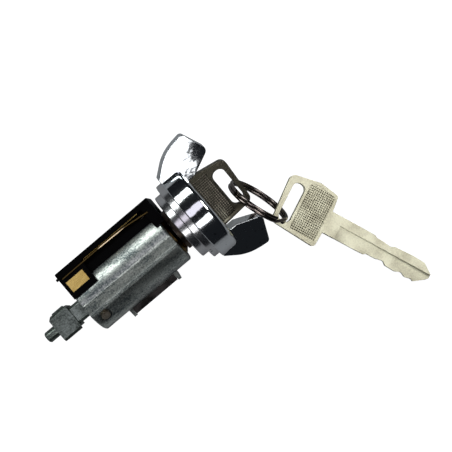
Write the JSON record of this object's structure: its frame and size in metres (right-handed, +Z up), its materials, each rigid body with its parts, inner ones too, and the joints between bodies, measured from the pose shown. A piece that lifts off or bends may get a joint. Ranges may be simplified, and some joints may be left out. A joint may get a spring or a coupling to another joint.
{
  "type": "steering column ignition lock",
  "caption": "Steering column ignition lock with a zinc sleeve, chrome two-eared knob, black switch housing, tail driver, inserted key and a spare key on a split ring.",
  "frame": {"origin": "on the lock's axis at the sleeve's front face, in the middle of the slide mount sleeve_seat's front end", "axes": "+X towards the key along the floor, +Y towards the black switch housing, +Z up; the lock's axis rises 7.6 degrees towards the key because the whole part is shown lying at rest"},
  "size_m": [0.1118, 0.0895, 0.0325],
  "materials": {
    "zinc": "die-cast zinc, worn and slightly pitted",
    "plug_zinc": "die-cast zinc",
    "collar_zinc": "aged zinc, grey-brown",
    "tail_zinc": "die-cast zinc, matte",
    "chrome": "chrome plated, lightly worn",
    "steel": "plain steel",
    "dark_steel": "blackened steel",
    "ring_steel": "dark worn steel wire",
    "brass": "bright brass",
    "copper_washer": "aged red brass",
    "bronze": "dull bronze",
    "key_nickel": "nickel-plated brass, dark with use",
    "spare_nickel": "nickel-plated brass, warm and bright",
    "black_plastic": "moulded black plastic",
    "feeler_plastic": "ivory plastic"
  },
  "bodies": {
    "sleeve_body": {"sleeve": "zinc", "rear_bearing": "brass", "rear_clip": "steel", "detent_ball": "steel", "detent_spring": "steel", "chamber_cover": "dark_steel", "driver_pin_1": "brass", "driver_pin_2": "brass", "driver_pin_3": "brass", "driver_pin_4": "brass", "driver_pin_5": "brass", "pin_spring_1": "steel", "pin_spring_2": "steel", "pin_spring_3": "steel", "pin_spring_4": "steel", "pin_spring_5": "steel", "switch_housing": "black_plastic", "contact_leaf": "brass", "contact_strip": "brass", "terminal_plate": "brass", "retaining_spring": "steel", "thrust_washer": "copper_washer"},
    "plug_body": {"plug": "plug_zinc", "knob": "chrome", "bezel_ring": "chrome", "knob_pins": "steel", "front_collar": "collar_zinc", "tail_driver": "tail_zinc", "key_pin_1": "brass", "key_pin_2": "brass", "key_pin_3": "brass", "key_pin_4": "brass", "key_pin_5": "brass"},
    "pin_body": {"retaining_pin": "bronze"},
    "feeler_body": {"key_feeler": "feeler_plastic"},
    "key_body": {"lock_key": "key_nickel"},
    "ring_body": {"key_ring": "ring_steel"},
    "spare_body": {"spare_key": "spare_nickel"}
  },
  "joints": [
    {"name": "lock_turn", "type": "hinge", "parent": "sleeve_body", "child": "plug_body", "pos_m": [0, 0, 0], "axis": [0.9911, 0, 0.1329], "range_deg": [-95, 32]},
    {"name": "key_slide", "type": "slide", "parent": "plug_body", "child": "key_body", "axis": [0.9911, 0, 0.1329], "range_m": [0, 0.045]},
    {"name": "ring_swing", "type": "hinge", "parent": "key_body", "child": "ring_body", "pos_m": [0.02686, 0, 0.0036], "axis": [-0.0541, 0.9135, 0.4031], "range_deg": [-8, 20]},
    {"name": "spare_swing", "type": "hinge", "parent": "ring_body", "child": "spare_body", "pos_m": [0.02888, -0.01004, -0.00387], "axis": [0.8878, 0.2697, 0.373], "range_deg": [-6, 90]},
    {"name": "retaining_pin_press", "type": "slide", "parent": "sleeve_body", "child": "pin_body", "axis": [0.1033, 0.6293, -0.7703], "range_m": [0, 0.0009], "stiffness_N_per_m": 1200, "springref_m": -0.001},
    {"name": "feeler_press", "type": "slide", "parent": "sleeve_body", "child": "feeler_body", "axis": [0.0665, -0.866, -0.4956], "range_m": [0, 0.0008], "stiffness_N_per_m": 600}
  ]
}
